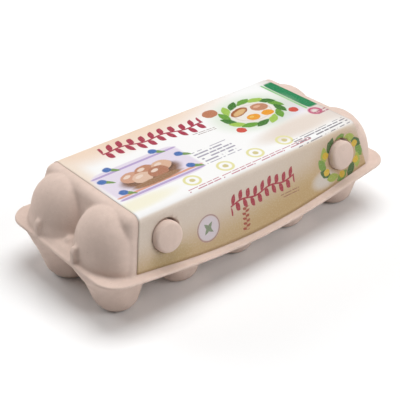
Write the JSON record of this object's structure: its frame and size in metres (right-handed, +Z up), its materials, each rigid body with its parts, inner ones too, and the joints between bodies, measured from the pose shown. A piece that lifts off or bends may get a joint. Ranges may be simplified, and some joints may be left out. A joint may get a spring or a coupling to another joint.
{
  "type": "egg carton",
  "caption": "Shut moulded-pulp egg carton with cup feet, domed ends, two round latch knobs and a printed paper label round the lid.",
  "frame": {"origin": "on the floor, under the middle of the carton's bounding box", "axes": "+X along the carton's length, -Y out of the front panel with the latch knobs, +Z up"},
  "size_m": [0.2424, 0.1146, 0.07],
  "materials": {
    "pulp": "matte moulded pulp, greyish beige",
    "label_paper": "thin printed paper, white top shading to tan on the panels"
  },
  "bodies": {
    "root": {"tray": "pulp", "lid": "pulp", "latch_knob_left": "pulp", "latch_knob_right": "pulp", "label": "label_paper"}
  },
  "joints": []
}
